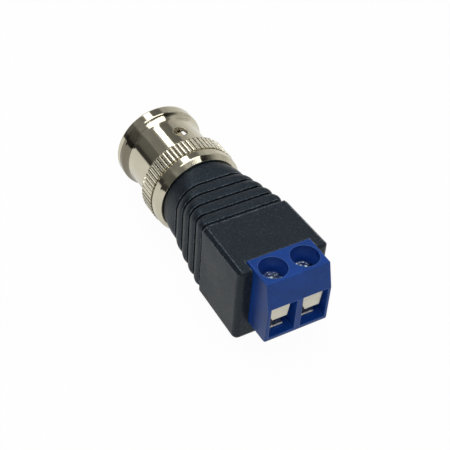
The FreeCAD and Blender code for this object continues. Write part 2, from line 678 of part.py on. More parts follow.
def nut_stack():
    """Places along the axis of what lies between the nut's lip and the shell's sleeve."""
    lip = d.nut_rear + d.nut_lip_start + d.nut_lip_width
    thrust = lip + d.seat_gap
    wave = thrust + d.thrust_thickness + d.seat_gap
    ring = wave + d.wave_height + d.seat_gap
    gasket = ring + d.ring_thickness + d.seat_gap
    return lip, thrust, wave, ring, gasket


def coupling_nut():
    """Bayonet coupling nut: knurled band, barrel, front rim, two ramped slots with detents."""
    body = new_body("coupling_nut")
    rear, front = d.nut_rear, d.nut_rear + d.nut_length
    rim_back = front - d.rim_width
    knurl = rear + d.knurl_start
    knurl_end = knurl + d.knurl_width
    lip_back = rear + d.nut_lip_start
    side = outline(body, "nut_side", "YZ_Plane", [
        (rear, d.nut_skirt_bore), (rear, d.nut_rear_radius),
        (rear + d.collar_ring_start, d.collar_ring_radius),
        (rear + d.collar_ring_end, d.collar_ring_radius),
        (rear + d.collar_ring_end, d.undercut_radius), (knurl, d.undercut_radius),
        (knurl, d.knurl_radius), (knurl_end, d.knurl_radius),
        (rear + d.barrel_start, d.barrel_radius), (rim_back - d.shoulder_run, d.barrel_radius),
        (rim_back, d.rim_radius), (front, d.rim_radius), (front, d.nut_bore),
        (nut_stack()[0], d.nut_bore), (nut_stack()[0], d.lip_bore), (lip_back, d.lip_bore),
        (lip_back, d.nut_skirt_bore)])
    revolve(body, "nut_turned", side)

    def ring_at(along, radius):
        return lambda e: (near(e.BoundBox.YMin, along.value) and near(e.BoundBox.YMax, along.value)
                          and near(e.BoundBox.XLength, 2 * radius.value))

    dress(body, "rim_round", "Fillet", ring_at(front, d.rim_radius), d.rim_round)
    dress(body, "shoulder_round", "Fillet", ring_at(rim_back, d.rim_radius), d.shoulder_round)
    dress(body, "shoulder_hollow", "Fillet",
          ring_at(rim_back - d.shoulder_run, d.barrel_radius), d.shoulder_hollow)
    dress(body, "collar_round", "Fillet",
          ring_at(rear + d.collar_ring_start, d.collar_ring_radius), d.shoulder_round)
    knurl_side = outline(body, "knurl_sketch", "XZ_Plane", [
        (-d.knurl_gap / 2, d.knurl_radius + 0.05), (0, d.knurl_radius - d.knurl_depth),
        (d.knurl_gap / 2, d.knurl_radius + 0.05)], -(knurl - 0.1))
    notch = extrude(body, "knurl_notch", knurl_side, d.knurl_width + 0.35, cut=True)
    doc.recompute()
    polar(body, "knurl", [notch], KNURL_RIBS)

    detent = front - d.detent_from_front
    half = d.stud_slot / 2
    slot = outline(body, "ramp_sketch", "YZ_Plane", [
        (detent - half, d.lip_bore), (detent + half, d.lip_bore),
        (detent + half, d.stud_slot_radius), (detent - half, d.stud_slot_radius)])
    ramp = body.newObject("PartDesign::SubtractiveHelix", "bayonet_ramp")
    ramp.Profile = slot
    ramp.ReferenceAxis = (origin(body, "Y_Axis"), [""])
    ramp.Mode = "height-turns-growth"
    ramp.Growth = 0
    bind(ramp, "Height", d.stud_slot_lead)
    bind(ramp, "Turns", d.stud_slot_angle / 360)
    doc.recompute()
    entry = outline(body, "entry_sketch", "XZ_Plane", [
        (-half, d.lip_bore), (half, d.lip_bore), (half, d.stud_slot_radius),
        (-half, d.stud_slot_radius)], -(detent + d.stud_slot_lead))
    entry.AttachmentOffset = FreeCAD.Placement(
        entry.AttachmentOffset.Base, FreeCAD.Rotation(Vector(0, 0, -1), d.stud_slot_angle.value))
    bind(entry, ".AttachmentOffset.Rotation.Angle", d.stud_slot_angle)
    way_in = extrude(body, "bayonet_entry", entry, d.detent_from_front, cut=True)
    doc.recompute()
    hole = circle_sketch(body, "detent_sketch", "XY_Plane", d.detent_radius, 0, detent)
    through = extrude(body, "detent_hole", hole, d.rim_radius, cut=True, reverse=True)
    doc.recompute()
    polar(body, "bayonet_slots", [ramp, way_in, through], 2)
    return turned(placed(body), d.detent_angle)


def washers():
    """Thrust washer, wave washer, retaining ring and gasket on the plug shell."""
    _, thrust, wave, ring, gasket = nut_stack()
    bore = d.shell_bearing + d.running_gap
    made = []
    for label, start, thick, inner in (
            ("thrust_washer", thrust, d.thrust_thickness, bore),
            ("gasket", gasket, d.gasket_thickness, d.gasket_seat + d.seat_gap)):
        body = new_body(label)
        side = outline(body, "ring_side", "YZ_Plane",
                       tube_profile(start, start + thick, inner, d.washer_radius))
        revolve(body, "ring_turned", side)
        made.append(placed(body))
    body = new_body("retaining_ring")
    side = outline(body, "ring_side", "YZ_Plane",
                   tube_profile(ring, ring + d.ring_thickness,
                                d.ring_groove_radius + d.seat_gap, d.washer_radius))
    revolve(body, "ring_turned", side)
    gap = outline(body, "gap_sketch", "XZ_Plane", [
        (-d.ring_gap / 2, -d.washer_radius - 1), (d.ring_gap / 2, -d.washer_radius - 1),
        (d.ring_gap / 2, 0), (-d.ring_gap / 2, 0)], -(ring - 0.1))
    extrude(body, "gap", gap, d.ring_thickness + 0.2, cut=True)
    made.append(placed(body))
    return made


def wave_washer():
    """Spring washer whose thin ring rises and falls around the shell."""
    sheet = doc.getObject("Sizes")
    height, thick = sheet.get("wave_height"), sheet.get("wave_thickness")
    inner = sheet.get("shell_bearing") + sheet.get("running_gap")
    outer = sheet.get("washer_radius")
    start = sum(sheet.get(size) for size in (
        "nut_rear", "nut_lip_start", "nut_lip_width", "seat_gap", "thrust_thickness", "seat_gap"))
    middle_y = start + height / 2
    swing = (height - thick) / 2
    steps = 4 * WAVES

    def wave_curve(radius, side):
        points = []
        for i in range(steps):
            angle = 2 * math.pi * i / steps
            y = middle_y + swing * math.cos(WAVES * angle) + side * thick / 2
            points.append(Vector(radius * math.sin(angle), y, radius * math.cos(angle)))
        curve = Part.BSplineCurve()
        curve.interpolate(points, PeriodicFlag=True)
        return Part.Wire(curve.toShape())

    def strip(first, second):
        return Part.makeRuledSurface(first, second)

    top_in, top_out = wave_curve(inner, 1), wave_curve(outer, 1)
    low_in, low_out = wave_curve(inner, -1), wave_curve(outer, -1)
    faces = []
    for pair in ((top_in, top_out), (low_in, low_out), (top_in, low_in), (top_out, low_out)):
        faces += strip(*pair).Faces
    solid = Part.makeSolid(Part.makeShell(faces))
    if solid.Volume < 0:
        solid.reverse()
    feature = doc.addObject("Part::Feature", "wave_washer")
    feature.Label = "wave_washer"
    feature.Shape = solid
    return placed(feature)


def outer_contact():
    """Turned plug shell: stem with collars, washer bearing, ring groove, slit front sleeve."""
    body = new_body("outer_contact")
    _, _, _, ring, gasket = nut_stack()
    end = d.nut_rear + d.nut_length - d.sleeve_recess
    stem = stem_profile(ZERO)
    side = outline(body, "shell_side", "YZ_Plane", [(d.stem_start, d.stem_bore)] + stem + [
        (d.bore_step - 1 + d.seat_gap, d.stem_radius), (d.bore_step - 1 + d.seat_gap, d.shell_bearing),
        (ring - d.seat_gap, d.shell_bearing), (ring - d.seat_gap, d.ring_groove_radius),
        (gasket, d.ring_groove_radius), (gasket, d.gasket_seat),
        (gasket + d.gasket_thickness + d.gasket_room, d.gasket_seat),
        (gasket + d.gasket_thickness + d.gasket_room, d.sleeve_radius), (end, d.sleeve_radius),
        (end, d.sleeve_bore), (d.bore_step, d.sleeve_bore), (d.bore_step, d.stem_bore)])
    revolve(body, "shell_turned", side)
    slit = outline(body, "slit_sketch", "XZ_Plane", [
        (-d.sleeve_slit / 2, 0), (d.sleeve_slit / 2, 0),
        (d.sleeve_slit / 2, d.sleeve_radius + 0.5), (-d.sleeve_slit / 2, d.sleeve_radius + 0.5)],
        -(end + 0.5))
    cut = extrude(body, "slit", slit, d.sleeve_slit_length + 0.5, cut=True, reverse=True)
    doc.recompute()
    polar(body, "slits", [cut], 4)
    return turned(placed(body), d.sleeve_slit_angle)


def sleeve_end():
    return d.nut_rear + d.nut_length - d.sleeve_recess


def insulators():
    """Front insulator with its open cup, and the rear bush."""
    neck = d.contact_neck + d.seat_gap
    shaft = d.contact_shaft + d.seat_gap
    outer = d.sleeve_bore - d.seat_gap
    start, stop = d.bore_step + d.seat_gap, sleeve_end() - d.cup_recess
    body = new_body("front_insulator")
    side = outline(body, "insulator_side", "YZ_Plane", [
        (start, shaft), (d.shaft_end + d.seat_gap, shaft), (d.shaft_end + d.seat_gap, neck),
        (d.cup_bottom, neck), (d.cup_bottom, d.insulator_lip), (stop, d.insulator_lip),
        (stop, outer - 0.3), (stop - 0.3, outer), (start, outer)])
    revolve(body, "insulator_turned", side)
    rear = new_body("rear_insulator")
    begin = d.stem_start + 0.4
    bush = outline(rear, "bush_side", "YZ_Plane", [
        (begin, d.tail_radius + d.seat_gap), (d.shaft_start - d.seat_gap, d.tail_radius + d.seat_gap),
        (d.shaft_start - d.seat_gap, shaft), (begin + d.bush_length, shaft),
        (begin + d.bush_length, d.stem_bore - d.seat_gap), (begin, d.stem_bore - d.seat_gap)])
    revolve(rear, "bush_turned", bush)
    return placed(body), placed(rear)


def centre_pin():
    """Turned centre pin: solder cup, shaft, neck, slender rounded tip."""
    body = new_body("centre_pin")
    tip = sleeve_end() - d.contact_recess
    nose = d.contact_radius * 1.1
    side = outline(body, "pin_side", "YZ_Plane", [
        (d.tail_start + d.cup_depth, 0), (d.tail_start + d.cup_depth, d.cup_bore),
        (d.tail_start, d.cup_bore), (d.tail_start, d.tail_radius),
        (d.shaft_start, d.tail_radius), (d.shaft_start, d.contact_shaft),
        (d.shaft_end, d.contact_shaft), (d.shaft_end, d.contact_neck),
        (d.cup_bottom + d.neck_step, d.contact_neck), (d.cup_bottom + d.neck_step, d.contact_radius),
        (tip - nose, d.contact_radius), (tip - nose * 0.25, d.contact_radius * 0.55),
        (tip, d.contact_radius * 0.2), (tip, 0)])
    revolve(body, "pin_turned", side)
    return placed(body)


def solder_tube():
    """Insulating tube shrunk over the solder cup."""
    body = new_body("solder_tube")
    inner = d.tail_radius + d.seat_gap
    start = d.tail_start - d.tube_overlap
    side = outline(body, "tube_side", "YZ_Plane",
                   tube_profile(start, start + d.tube_length, inner, inner + d.tube_wall))
    revolve(body, "tube_turned", side)
    return placed(body)


def lead_route(body, start, stop):
    """An S bend of two equal arcs between straight ends, all in one plane through the axis."""
    (su, sv), (eu, ev) = start, stop
    first, last = su + d.lead_run, eu - d.lead_run
    path = sketch(body, "route", "YZ_Plane")
    along, rise = (last - first).value, (ev - sv).value
    radius = (along ** 2 + rise ** 2) / (4 * rise)
    sweep = 2 * math.atan2(rise, along)
    low = Part.Circle(Vector(first.value, sv.value + radius, 0), Vector(0, 0, 1), radius)
    high = Part.Circle(Vector(last.value, ev.value - radius, 0), Vector(0, 0, 1), radius)
    for shape in (
            Part.LineSegment(Vector(su.value, sv.value, 0), Vector(first.value, sv.value, 0)),
            Part.ArcOfCircle(low, -math.pi / 2, -math.pi / 2 + sweep),
            Part.ArcOfCircle(high, math.pi / 2, math.pi / 2 + sweep),
            Part.LineSegment(Vector(last.value, ev.value, 0), Vector(eu.value, ev.value, 0))):
        path.addGeometry(shape, False)
    for geo, pos, u, v in ((0, 1, su, sv), (0, 2, first, sv), (3, 1, last, ev), (3, 2, eu, ev)):
        pin_point(path, geo, pos, u, v)
    for a, a_end, b, b_end in ((0, 2, 1, 1), (1, 2, 2, 2), (3, 1, 2, 1)):
        path.addConstraint(Sketcher.Constraint("Tangent", a, a_end, b, b_end))
    path.addConstraint(Sketcher.Constraint("Equal", 1, 2))
    return path


def lead(label, sign, end_along, end_drop, core_length=None):
    """A lead from a solder pin's rear face to the plug."""
    body = new_body(label)
    across = d.pole_pitch / 2
    reach = Dim(math.hypot(across.value, d.lead_rise.value),
                f"sqrt({across.text} ^ 2 + {d.lead_rise.text} ^ 2)")
    start = d.pin_back + d.seat_gap
    path = lead_route(body, (start, -reach), (end_along, -end_drop))
    jacket = circle_sketch(body, "jacket_sketch", "XZ_Plane", d.lead_radius, 0, -reach, -start)
    pipe = body.newObject("PartDesign::AdditivePipe", "jacket")
    pipe.Profile = jacket
    pipe.Spine = (path, [])
    if core_length is not None:
        core = circle_sketch(body, "core_sketch", "XZ_Plane", d.lead_core, 0, -end_drop,
                             -(end_along - d.lead_core))
        extrude(body, "bare_end", core, core_length + d.lead_core, reverse=True)
    angle = Dim(-sign * math.degrees(math.atan2(across.value, d.lead_rise.value)),
                f"{-sign} * atan({across.text} / {d.lead_rise.text})")
    return turned(placed(body), angle)


def check(pieces):
    faults = [f"{o.Name} failed" for o in doc.Objects if {"Invalid", "Error"} & set(o.State)]
    for piece in pieces:
        shape = piece.Shape
        if shape.isNull() or not shape.isValid() or len(shape.Solids) != 1:
            faults.append(f"{piece.Label} is no sound solid")
            continue
        print(f"{piece.Label:24s} {shape.Volume:9.3f} mm3  {len(shape.Faces)} faces")
    if faults:
        raise RuntimeError("; ".join(faults))


def main():
    make_sheet()
    pieces = [terminal_housing(), body_moulding(), coupling_nut(), wave_washer(), outer_contact(),
              centre_pin(), solder_tube()]
    pieces += washers()
    pieces += insulators()
    for name, sign in (("left", -1), ("right", 1)):
        pieces += [terminal_contact(name, sign), terminal_screw(name, sign), wire_guard(name, sign)]
    pieces.append(lead("centre_lead", -1, d.tail_start - d.seat_gap, ZERO, d.lead_core_length))
    pieces.append(lead("ground_lead", 1, d.stem_start - d.seat_gap, d.ground_spread))
    doc.recompute()
    check(pieces)
    os.makedirs("parts", exist_ok=True)
    for piece in pieces:
        piece.Shape.exportStep(f"parts/{piece.Label}.step")


main()
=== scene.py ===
"""Looks and stage for a screw terminal adapter with a bayonet plug."""
import math

import bpy
from bpy.props import FloatProperty, FloatVectorProperty, PointerProperty
from mathutils import Matrix, Vector


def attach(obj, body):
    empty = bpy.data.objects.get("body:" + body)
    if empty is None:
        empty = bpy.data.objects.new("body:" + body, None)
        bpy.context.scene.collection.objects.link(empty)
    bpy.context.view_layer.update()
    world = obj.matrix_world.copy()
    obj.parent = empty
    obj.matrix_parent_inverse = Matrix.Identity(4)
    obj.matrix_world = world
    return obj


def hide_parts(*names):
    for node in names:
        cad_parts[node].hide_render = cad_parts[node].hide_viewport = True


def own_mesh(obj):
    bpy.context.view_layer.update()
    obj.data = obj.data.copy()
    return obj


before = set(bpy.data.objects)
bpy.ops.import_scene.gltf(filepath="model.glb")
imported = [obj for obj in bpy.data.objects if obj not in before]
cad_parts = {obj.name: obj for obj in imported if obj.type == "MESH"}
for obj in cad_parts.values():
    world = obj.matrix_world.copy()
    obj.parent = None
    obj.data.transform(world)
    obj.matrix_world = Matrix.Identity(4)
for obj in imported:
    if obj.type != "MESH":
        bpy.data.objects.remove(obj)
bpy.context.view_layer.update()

bl_info = {
    "name": "Screw Terminal Adapter",
    "version": (1, 0, 0),
    "blender": (4, 5, 0),
    "location": "View3D > Sidebar > Adapter",
    "description": "Finishes of a bayonet plug adapter with screw terminals, and its studio stage",
    "category": "Object",
}

TOTAL_LENGTH = 0.0416
AXIS_HEIGHT = 0.0073

# Places along the adapter, and radii, are in millimetres. Places count from the wire entries.
KNURL_BAND = (29.25, 31.95)
KNURL_RIBS = 64
COVE_BAND = (38.7, 40.5)
DETENT_PLACE = 35.5
DETENT_RADIUS = 1.15
DETENT_MARGIN = 0.02
DETENT_ANGLE = math.radians(8.0)

# Painted light and shade laid over the finishes: highlights, lighter recesses, and darker hollows
# and grooves.
PAINTED_HIGHLIGHT_GREY = (0.29, 0.34, 0.40, 1)
HOUSING_EDGE_HIGHLIGHT = (0.09, 0.20, 0.56, 1)
HOUSING_PAINTED_BOUNCE = (0.018, 0.120, 0.60, 1)
BOUNCE_SHARE = 0.8
COVE_PAINTED_SHADE = (0.115, 0.095, 0.07, 1)
HOLE_WALL_PAINTED_LIGHT = (0.85, 0.80, 0.66, 1)
KNURL_PAINTED_HIGHLIGHT = (0.92, 0.88, 0.72, 1)
KNURL_GROOVE_SHADE = (0.16, 0.13, 0.09, 1)

# Finishes of the pieces inside the plug and the body.
SHELL_ROUGHNESS = 0.18
RING_STEEL = (0.55, 0.54, 0.52, 1)
GASKET_BLACK = (0.03, 0.03, 0.03, 1)
SIGNAL_RED = (0.45, 0.02, 0.015, 1)
GROUND_BLACK = (0.02, 0.02, 0.02, 1)
TUBE_BLACK = (0.03, 0.03, 0.03, 1)

# The room's upright bands: middle, half width and soft edge in degrees, and brightness.
WALLS = (
    (-68, 24, 6, 0.13),
    (-84, 8, 3, 0.045),
    (-30, 14, 6, 0.27),
    (20, 14, 5, 0.21),
    (100, 22, 14, 0.80),
)
# A dark corner of the room: which way, its core and its edge in degrees, and how dark.
CORNER_WAY = (0.40, -0.55, 0.73)
CORNER_CORE = 16
CORNER_EDGE = 36
CORNER_SHARE = 0.9
MOTTLE_SCALE = 5.0
MOTTLE_DARKEST = 0.80
MOTTLE_LIGHTEST = 1.20
BACKDROP_WHITE = (0.97, 0.97, 0.97, 1)

# How much of the floor's white shows to the camera, and in reflections before that share.
FLOOR_SEEN = 0.97
FLOOR_MIRRORED = 0.62

OVERHEAD_PLACE = (0.0, -0.02, 0.42)
OVERHEAD_SIZE = (0.36, 0.36)
WINDOW_PLACE = (-0.024, 0.34, 0.40)
WINDOW_SIZE = (0.105, 0.32)


def along(millimetres):
    """Row coordinate Y of a place given from the wire entries, in millimetres."""
    return millimetres / 1000 - TOTAL_LENGTH / 2


CAMERA_PLACE = (-0.06337, along(-77.82), AXIS_HEIGHT + 0.10587)
CAMERA_AHEAD = (0.4030, 0.6209, -0.6724)
CAMERA_UP = (0.2986, 0.6053, 0.7379)
CAMERA_SENSOR = 36
CAMERA_NEAREST = 0.01


class AdapterFinish(bpy.types.PropertyGroup):
    """Colours and textures of the adapter's pieces."""
    body_colour: FloatVectorProperty(
        name="Body colour", description="Black moulding", subtype="COLOR", size=4,
        min=0, max=1, default=(0.0062, 0.0096, 0.0150, 1))
    body_grain: FloatProperty(
        name="Body grain", description="Height of the moulding's fine grain",
        subtype="DISTANCE", unit="LENGTH", default=0.000055, min=0, max=0.001, precision=6)
    housing_colour: FloatVectorProperty(
        name="Housing colour", description="Blue terminal housing", subtype="COLOR", size=4,
        min=0, max=1, default=(0.0034, 0.0430, 0.2600, 1))
    nickel_colour: FloatVectorProperty(
        name="Nickel colour", description="Plated nut and plug shell", subtype="COLOR", size=4,
        min=0, max=1, default=(0.64, 0.60, 0.47, 1))
    nickel_roughness: FloatProperty(
        name="Nickel roughness", description="Polish of the plated nut", subtype="FACTOR",
        default=0.07, min=0, max=1)
    steel_colour: FloatVectorProperty(
        name="Steel colour", description="Guards", subtype="COLOR", size=4,
        min=0, max=1, default=(0.68, 0.65, 0.55, 1))
    screw_colour: FloatVectorProperty(
        name="Screw colour", description="Zinc plated screws", subtype="COLOR", size=4,
        min=0, max=1, default=(0.74, 0.80, 0.83, 1))
    tin_colour: FloatVectorProperty(
        name="Tin colour", description="Tinned contact strips", subtype="COLOR", size=4,
        min=0, max=1, default=(0.98, 0.97, 0.90, 1))
    gold_colour: FloatVectorProperty(
        name="Gold colour", description="Plated centre pin", subtype="COLOR", size=4,
        min=0, max=1, default=(0.90, 0.62, 0.22, 1))
    insulator_colour: FloatVectorProperty(
        name="Insulator colour", description="Waxy white insulators", subtype="COLOR", size=4,
        min=0, max=1, default=(0.80, 0.80, 0.76, 1))


class AdapterStage(bpy.types.PropertyGroup):
    """Floor, lamps, surroundings and camera."""
    floor_colour: FloatVectorProperty(
        name="Floor colour", description="Pale studio floor", subtype="COLOR", size=4,
        min=0, max=1, default=(0.88, 0.88, 0.87, 1))
    floor_size: FloatProperty(
        name="Floor size", description="Side of the square floor", subtype="DISTANCE",
        unit="LENGTH", default=3.0, min=0.2)
    room_colour: FloatVectorProperty(
        name="Room colour", description="Walls and ceiling round the stage", subtype="COLOR",
        size=4, min=0, max=1, default=(1.0, 0.99, 0.96, 1))
    room_level: FloatProperty(
        name="Room level", description="Brightness of the walls that have no tone of their own",
        default=0.55, min=0)
    over_power: FloatProperty(
        name="Overhead power", description="Large soft lamp straight above", subtype="POWER",
        unit="POWER", default=0.9, min=0)
    window_power: FloatProperty(
        name="Window power", description="Window above and behind, seen as streaks in the nickel",
        subtype="POWER", unit="POWER", default=0.34, min=0)
    lens: FloatProperty(
        name="Lens", description="Focal length for a 36 mm sensor", subtype="DISTANCE_CAMERA",
        unit="CAMERA", default=86.341, min=10)


class NodeTree:
    """Short calls that add shader nodes to a tree."""

    def __init__(self, tree):
        self.tree = tree
        self.tree.nodes.clear()

    def node(self, kind, **values):
        node = self.tree.nodes.new(kind)
        for name, value in values.items():
            setattr(node, name, value)
        return node

    def link(self, source, target):
        self.tree.links.new(source, target)

    def feed(self, socket, value):
        """Join an output to a socket, or give the socket a fixed value."""
        if isinstance(value, bpy.types.NodeSocket):
            self.link(value, socket)
        else:
            socket.default_value = value

    def sums(self, operation, *parts):
        node = self.node("ShaderNodeMath", operation=operation)
        for socket, part in zip(node.inputs, parts):
            self.feed(socket, part)
        return node.outputs["Value"]

    def spread(self, value, low, high, start=0.3, stop=0.7, **kind):
        """Carry a value from one range, start to stop, to another, low to high."""
        node = self.node("ShaderNodeMapRange", **kind)
        node.inputs["From Min"].default_value = start
        node.inputs["From Max"].default_value = stop
        node.inputs["To Min"].default_value = low
        node.inputs["To Max"].default_value = high
        self.link(value, node.inputs["Value"])
        return node.outputs["Result"]


class Shade(NodeTree):
    """A material under construction: its shader, and calls for what the finishes share."""

    def __init__(self, name, **values):
        self.material = bpy.data.materials.new(name)
        self.material.use_nodes = True
        super().__init__(self.material.node_tree)
        self.out = self.node("ShaderNodeOutputMaterial")
        self.shader = self.node("ShaderNodeBsdfPrincipled")
        self.link(self.shader.outputs["BSDF"], self.out.inputs["Surface"])
        self.place = self.node("ShaderNodeTexCoord").outputs["Object"]
        for socket, value in values.items():
            self.shader.inputs[socket.replace("_", " ")].default_value = value

    def noise(self, size, detail=3, roughness=0.55, scale=(1, 1, 1)):
        """Noise whose lumps are about a given size, in metres. A scale above 1 along an axis
        makes them shorter that way, and one below 1 makes them longer."""
        mapping = self.node("ShaderNodeMapping")
        mapping.inputs["Scale"].default_value = scale
        self.link(self.place, mapping.inputs["Vector"])
        node = self.node("ShaderNodeTexNoise")
        node.inputs["Scale"].default_value = 1 / size
        node.inputs["Detail"].default_value = detail
        node.inputs["Roughness"].default_value = roughness
        self.link(mapping.outputs["Vector"], node.inputs["Vector"])
        return node.outputs["Fac"]

    def over(self, value, below, above):
        """A colour laid over another, by a value."""
        node = self.node("ShaderNodeMix", data_type="RGBA")
        share, first, second = node.inputs[0], node.inputs[6], node.inputs[7]
        self.link(value, share)
        self.feed(first, below)
        self.feed(second, above)
        return node.outputs[2]

    def axes(self):
        """The place's parts: across, along and up from the plug's axis."""
        node = self.node("ShaderNodeSeparateXYZ")
        self.link(self.place, node.inputs[0])
        across, length, up = node.outputs
        return across, length, self.sums("SUBTRACT", up, AXIS_HEIGHT)

    def rounded(self, radius):
        """The surface's normal, with the solid's edges rounded by a radius."""
        node = self.node("ShaderNodeBevel", samples=6)
        node.inputs["Radius"].default_value = radius
        return node.outputs["Normal"]

    def edges(self, radius, share):
        """A value that rises from 0 to a share along the solid's edges."""
        flat = self.node("ShaderNodeNewGeometry")
        dot = self.node("ShaderNodeVectorMath", operation="DOT_PRODUCT")
        self.link(self.rounded(radius), dot.inputs[0])
        self.link(flat.outputs["Normal"], dot.inputs[1])
        return self.spread(dot.outputs["Value"], share, 0, 0.95, 0.999)

    def openness(self, reach, closed, clear):
        """0 in grooves and corners, 1 where nothing stands nearby."""
        node = self.node("ShaderNodeAmbientOcclusion", samples=6)
        node.inputs["Distance"].default_value = reach
        return self.spread(node.outputs["AO"], 0, 1, closed, clear)

    def in_band(self, length, band):
        """1 between two places along the adapter, 0 outside."""
        above = self.sums("GREATER_THAN", length, along(band[0]))
        return self.sums("MULTIPLY", above, self.sums("LESS_THAN", length, along(band[1])))

    def in_detent(self, across, length, up):
        """1 on the wall of the detent hole, 0 elsewhere."""
        side = self.sums("SUBTRACT", self.sums("MULTIPLY", across, math.cos(DETENT_ANGLE)),
                         self.sums("MULTIPLY", up, math.sin(DETENT_ANGLE)))
        ahead = self.sums("SUBTRACT", length, along(DETENT_PLACE))
        away = self.sums("ADD", self.sums("MULTIPLY", side, side),
                         self.sums("MULTIPLY", ahead, ahead))
        return self.sums("LESS_THAN", away, ((DETENT_RADIUS + DETENT_MARGIN) / 1000) ** 2)

    def set(self, socket, value):
        self.link(value, self.shader.inputs[socket])

    def bump(self, height, depth, rounding):
        """Bend the surface by a height, over edges that are rounded a little."""
        node = self.node("ShaderNodeBump")
        node.inputs["Distance"].default_value = depth
        node.inputs["Strength"].default_value = 1.0
        self.link(height, node.inputs["Height"])
        self.link(self.rounded(rounding), node.inputs["Normal"])
        self.set("Normal", node.outputs["Normal"])


def tinted(colour, factor):
    """A colour made lighter or darker by a factor."""
    return (*(min(1.0, part * factor) for part in colour[:3]), 1.0)


def clothe(names, material):
    """Give the named solids a material."""
    for name in names:
        slots = bpy.data.objects[name].material_slots
        if not slots:
            bpy.data.objects[name].data.materials.append(material)
        for slot in slots:
            slot.material = material


def black_moulding(finish):
    """Satin black plastic with a fine leathery grain, and painted highlights: pale glints on the
    grain's tips and along the edges.
    """
    shade = Shade("black_moulding", IOR=1.46, Specular_IOR_Level=0.33,
                  Specular_Tint=(0.64, 0.86, 1.0, 1))
    grain = shade.noise(0.00026, detail=4, roughness=0.62)
    lumps = shade.noise(0.00024, detail=2, roughness=0.5)
    # Painted highlights: glints on the grain's tips, and a dotted highlight along the edges that
    # is kept out of the grooves, in a pale grey.
    painted_glints = shade.spread(lumps, 0, 0.10, 0.58, 0.68)
    painted_edge_highlight = shade.sums("MULTIPLY", shade.spread(lumps, 0.15, 1, 0.46, 0.60),
                      shade.edges(0.00030, 0.70))
    painted_edge_highlight = shade.sums("MULTIPLY", painted_edge_highlight, shade.openness(0.0008, 0.50, 0.75))
    cloud = shade.noise(0.004)
    base = shade.over(shade.spread(cloud, 0, 1), finish.body_colour,
                      tinted(finish.body_colour, 1.35))
    shade.set("Base Color", shade.over(shade.sums("MAXIMUM", painted_glints, painted_edge_highlight), base, PAINTED_HIGHLIGHT_GREY))
    shade.set("Roughness", shade.spread(cloud, 0.36, 0.46))
    shade.bump(grain, finish.body_grain, rounding=0.00014)
    return shade.material


def blue_housing(finish):
    """Satin blue plastic with faint flow clouds, a painted highlight along its edges, and painted
    bounce light: a lighter blue in the wells and entries."""
    shade = Shade("blue_housing", IOR=1.5, Specular_IOR_Level=0.38,
                  Specular_Tint=(0.62, 0.85, 1.0, 1), Subsurface_Weight=0.04,
                  Subsurface_Radius=(0.0002, 0.0004, 0.001))
    cloud = shade.noise(0.003, detail=4)
    grain = shade.noise(0.00012)
    speck = shade.noise(0.00028)
    flow = shade.sums("ADD", shade.sums("MULTIPLY", cloud, 0.5),
                      shade.sums("MULTIPLY", speck, 0.5))
    base = shade.over(shade.spread(flow, 0, 1, 0.4, 0.6), tinted(finish.housing_colour, 0.86),
                      tinted(finish.housing_colour, 1.24))
    # Painted bounce light: the more closed in a place is, as in the wells and entries, the lighter
    # its blue.
    clear = shade.sums("MULTIPLY", BOUNCE_SHARE, shade.openness(0.0035, 0.38, 0.85))
    base = shade.over(shade.sums("SUBTRACT", BOUNCE_SHARE, clear), base, HOUSING_PAINTED_BOUNCE)
    # Painted highlight: a lighter blue line along the edges.
    shade.set("Base Color", shade.over(shade.edges(0.00020, 0.60), base, HOUSING_EDGE_HIGHLIGHT))
    shade.set("Roughness", shade.spread(cloud, 0.30, 0.38))
    shade.bump(grain, 0.000005, rounding=0.00012)
    return shade.material


